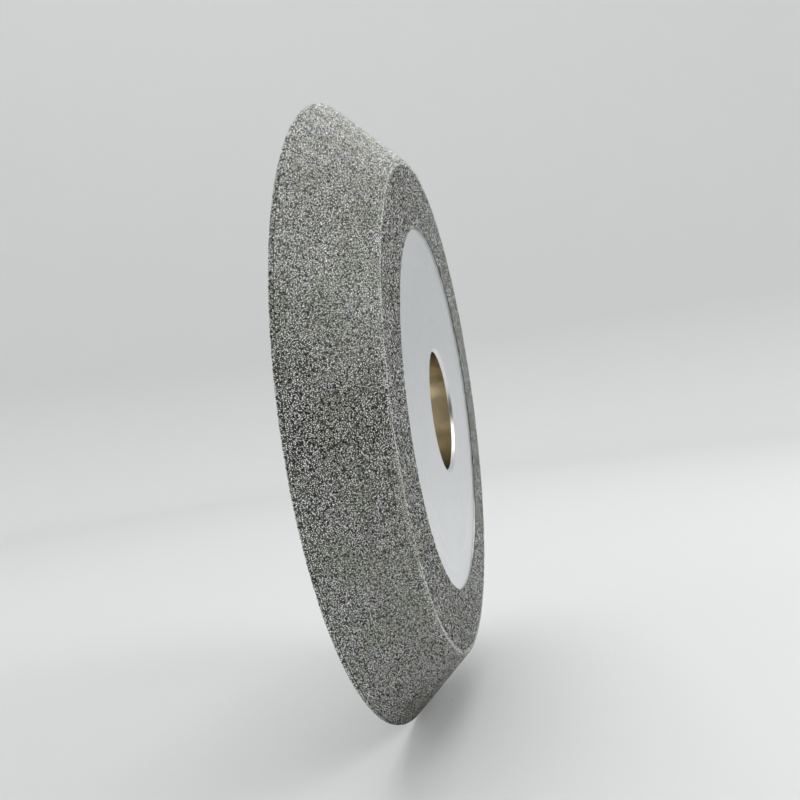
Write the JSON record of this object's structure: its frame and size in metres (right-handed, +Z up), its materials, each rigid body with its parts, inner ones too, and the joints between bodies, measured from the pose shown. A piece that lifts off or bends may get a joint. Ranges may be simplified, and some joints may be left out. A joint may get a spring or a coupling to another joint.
{
  "type": "diamond grinding wheel",
  "caption": "Upright round wheel with a 45 degree bevel and a flat front band plated with diamond grit, bare ground hub faces and a plain bore for a spindle.",
  "frame": {"origin": "on the bore's axis, midway between the blank's two ground hub faces, which is also the centre of the wheel's box", "axes": "+Y along the wheel's axis, from the plated front face at -Y to the large rim and the back face at +Y; +Z up, with the wheel standing on its rim as if on a level spindle; +X completes the right-handed frame"},
  "size_m": [0.1006, 0.0108, 0.1006],
  "materials": {
    "ground_steel": "satin",
    "strike_nickel": "satin",
    "bond_nickel": "matte",
    "diamond_grit": "satin"
  },
  "bodies": {
    "root": {"steel_blank": "ground_steel", "nickel_strike": "strike_nickel", "nickel_bond": "bond_nickel", "front_band_diamonds": "diamond_grit", "bevel_diamonds": "diamond_grit", "rim_and_back_diamonds": "diamond_grit"}
  },
  "joints": []
}
